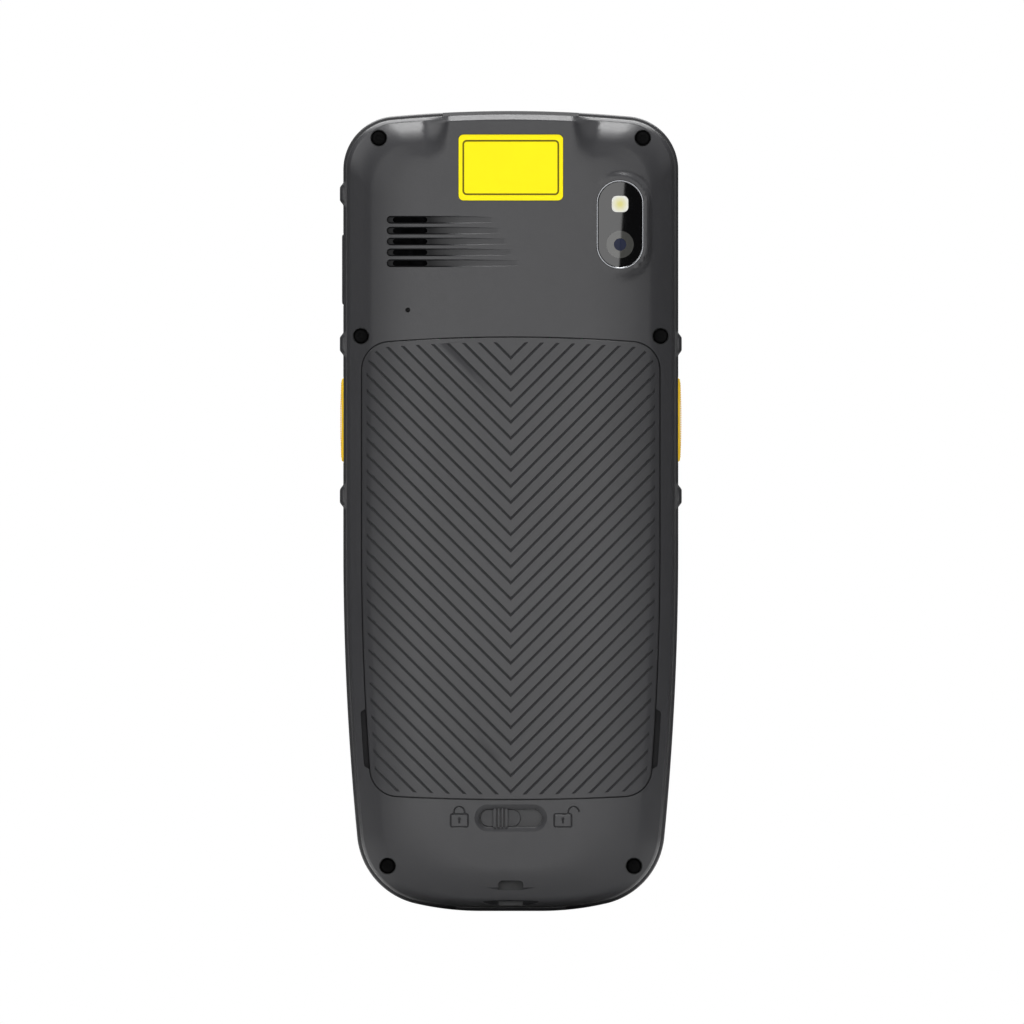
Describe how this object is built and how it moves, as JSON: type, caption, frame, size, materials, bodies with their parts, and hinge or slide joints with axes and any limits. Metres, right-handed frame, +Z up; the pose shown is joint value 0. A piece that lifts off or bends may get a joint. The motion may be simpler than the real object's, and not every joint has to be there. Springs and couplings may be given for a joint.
{
  "type": "portable barcode data terminal",
  "caption": "Hand-held data terminal with a scan window in its top end, a camera, a grooved battery cover with a slide lock, side triggers, a display and a keypad.",
  "frame": {"origin": "middle of the foot, on the surface that the terminal stands on", "axes": "+Z up from the foot to the scan window, -Y out of the back with the battery cover, +Y out of the display, +X to the right when looking at the back"},
  "size_m": [0.0684, 0.018, 0.16],
  "materials": {
    "front_plastic": "matt black, fine spark texture",
    "rear_plastic": "matt dark grey, fine spark texture",
    "cover_plastic": "matt dark grey, fine spark texture",
    "seal_rubber": "matt black",
    "cover_rubber": "matt red silicone",
    "mat_rubber": "matt dark silicone",
    "side_rubber": "matt black",
    "black_screw": "black zinc",
    "insert_brass": "knurled",
    "display_glass": "polished black cover glass",
    "display_panel": "smooth",
    "board": "green solder mask",
    "tinned_steel": "tinned",
    "inner_plastic": "matt black",
    "mesh": "woven mesh",
    "scan_window": "polished dark filter",
    "trim_silver": "satin chrome",
    "camera_glass": "polished black",
    "flash_lens": "frosted lens",
    "label_yellow": "satin vinyl",
    "battery_shell": "satin shrink film",
    "pull_tab": "woven ribbon",
    "contact_gold": "gold plated",
    "lock_plastic": "matt black",
    "key_yellow": "matt yellow",
    "key_red": "matt red",
    "key_dark": "matt black"
  },
  "bodies": {
    "root": {"front_housing": "front_plastic", "rear_housing": "rear_plastic", "housing_seal": "seal_rubber", "housing_screws": "black_screw", "screw_inserts": "insert_brass", "display_glass": "display_glass", "display_panel": "display_panel", "keypad_mat": "mat_rubber", "keypad_board": "board", "main_board": "board", "shield_cans": "tinned_steel", "side_switches": "tinned_steel", "vibration_motor": "tinned_steel", "usb_port": "tinned_steel", "earpiece": "inner_plastic", "earpiece_mesh": "mesh", "scan_engine": "inner_plastic", "scan_window": "scan_window", "camera_trim": "trim_silver", "camera_window": "camera_glass", "camera_module": "inner_plastic", "flash_led": "flash_lens", "loudspeaker": "inner_plastic", "speaker_mesh": "mesh", "rear_microphone": "contact_gold", "rear_label": "label_yellow", "battery_pack": "battery_shell", "battery_pull_tab": "pull_tab", "battery_contacts": "contact_gold", "card_holder": "tinned_steel", "lock_keeper": "tinned_steel", "lock_screws": "tinned_steel", "catch_spring": "tinned_steel"},
    "battery_cover": {"battery_cover": "cover_plastic", "cover_seal": "cover_rubber"},
    "lock_slide": {"lock_slide": "lock_plastic"},
    "trigger_left": {"trigger_left": "key_yellow"},
    "trigger_right": {"trigger_right": "key_yellow"},
    "volume_key": {"volume_key": "side_rubber"},
    "key_menu": {"key_menu": "key_dark"},
    "key_scan": {"key_scan": "key_yellow"},
    "key_power": {"key_power": "key_red"},
    "key_1": {"key_1": "key_dark"},
    "key_2": {"key_2": "key_dark"},
    "key_3": {"key_3": "key_dark"},
    "key_4": {"key_4": "key_dark"},
    "key_5": {"key_5": "key_dark"},
    "key_6": {"key_6": "key_dark"},
    "key_7": {"key_7": "key_dark"},
    "key_8": {"key_8": "key_dark"},
    "key_9": {"key_9": "key_dark"},
    "key_clear": {"key_clear": "key_dark"},
    "key_0": {"key_0": "key_dark"},
    "key_enter": {"key_enter": "key_dark"}
  },
  "joints": [
    {"name": "cover_tilt", "type": "hinge", "parent": "root", "child": "battery_cover", "pos_m": [0, -0.009, 0.1148], "axis": [-1, 0, 0], "range_deg": [0, 38], "deforming": ["catch_spring"]},
    {"name": "lock_slide_travel", "type": "slide", "parent": "root", "child": "lock_slide", "axis": [1, 0, 0], "range_m": [0, 0.0043]},
    {"name": "trigger_left_press", "type": "slide", "parent": "root", "child": "trigger_left", "axis": [1, 0, 0], "range_m": [0, 0.0005], "stiffness_N_per_m": 1000, "springref_m": -0.0005},
    {"name": "trigger_right_press", "type": "slide", "parent": "root", "child": "trigger_right", "axis": [-1, 0, 0], "range_m": [0, 0.0005], "stiffness_N_per_m": 1000, "springref_m": -0.0005},
    {"name": "volume_rock", "type": "hinge", "parent": "root", "child": "volume_key", "pos_m": [-0.03025, 0.0036, 0.1283], "axis": [0, 1, 0], "range_deg": [-2, 2], "stiffness_Nm_per_rad": 0.2},
    {"name": "key_menu_press", "type": "slide", "parent": "root", "child": "key_menu", "axis": [0, -1, 0], "range_m": [0, 0.0004], "stiffness_N_per_m": 1000, "springref_m": -0.0004},
    {"name": "key_scan_press", "type": "slide", "parent": "root", "child": "key_scan", "axis": [0, -1, 0], "range_m": [0, 0.0004], "stiffness_N_per_m": 1000, "springref_m": -0.0004},
    {"name": "key_power_press", "type": "slide", "parent": "root", "child": "key_power", "axis": [0, -1, 0], "range_m": [0, 0.0004], "stiffness_N_per_m": 1000, "springref_m": -0.0004},
    {"name": "key_1_press", "type": "slide", "parent": "root", "child": "key_1", "axis": [0, -1, 0], "range_m": [0, 0.0004], "stiffness_N_per_m": 1000, "springref_m": -0.0004},
    {"name": "key_2_press", "type": "slide", "parent": "root", "child": "key_2", "axis": [0, -1, 0], "range_m": [0, 0.0004], "stiffness_N_per_m": 1000, "springref_m": -0.0004},
    {"name": "key_3_press", "type": "slide", "parent": "root", "child": "key_3", "axis": [0, -1, 0], "range_m": [0, 0.0004], "stiffness_N_per_m": 1000, "springref_m": -0.0004},
    {"name": "key_4_press", "type": "slide", "parent": "root", "child": "key_4", "axis": [0, -1, 0], "range_m": [0, 0.0004], "stiffness_N_per_m": 1000, "springref_m": -0.0004},
    {"name": "key_5_press", "type": "slide", "parent": "root", "child": "key_5", "axis": [0, -1, 0], "range_m": [0, 0.0004], "stiffness_N_per_m": 1000, "springref_m": -0.0004},
    {"name": "key_6_press", "type": "slide", "parent": "root", "child": "key_6", "axis": [0, -1, 0], "range_m": [0, 0.0004], "stiffness_N_per_m": 1000, "springref_m": -0.0004},
    {"name": "key_7_press", "type": "slide", "parent": "root", "child": "key_7", "axis": [0, -1, 0], "range_m": [0, 0.0004], "stiffness_N_per_m": 1000, "springref_m": -0.0004},
    {"name": "key_8_press", "type": "slide", "parent": "root", "child": "key_8", "axis": [0, -1, 0], "range_m": [0, 0.0004], "stiffness_N_per_m": 1000, "springref_m": -0.0004},
    {"name": "key_9_press", "type": "slide", "parent": "root", "child": "key_9", "axis": [0, -1, 0], "range_m": [0, 0.0004], "stiffness_N_per_m": 1000, "springref_m": -0.0004},
    {"name": "key_clear_press", "type": "slide", "parent": "root", "child": "key_clear", "axis": [0, -1, 0], "range_m": [0, 0.0004], "stiffness_N_per_m": 1000, "springref_m": -0.0004},
    {"name": "key_0_press", "type": "slide", "parent": "root", "child": "key_0", "axis": [0, -1, 0], "range_m": [0, 0.0004], "stiffness_N_per_m": 1000, "springref_m": -0.0004},
    {"name": "key_enter_press", "type": "slide", "parent": "root", "child": "key_enter", "axis": [0, -1, 0], "range_m": [0, 0.0004], "stiffness_N_per_m": 1000, "springref_m": -0.0004}
  ]
}
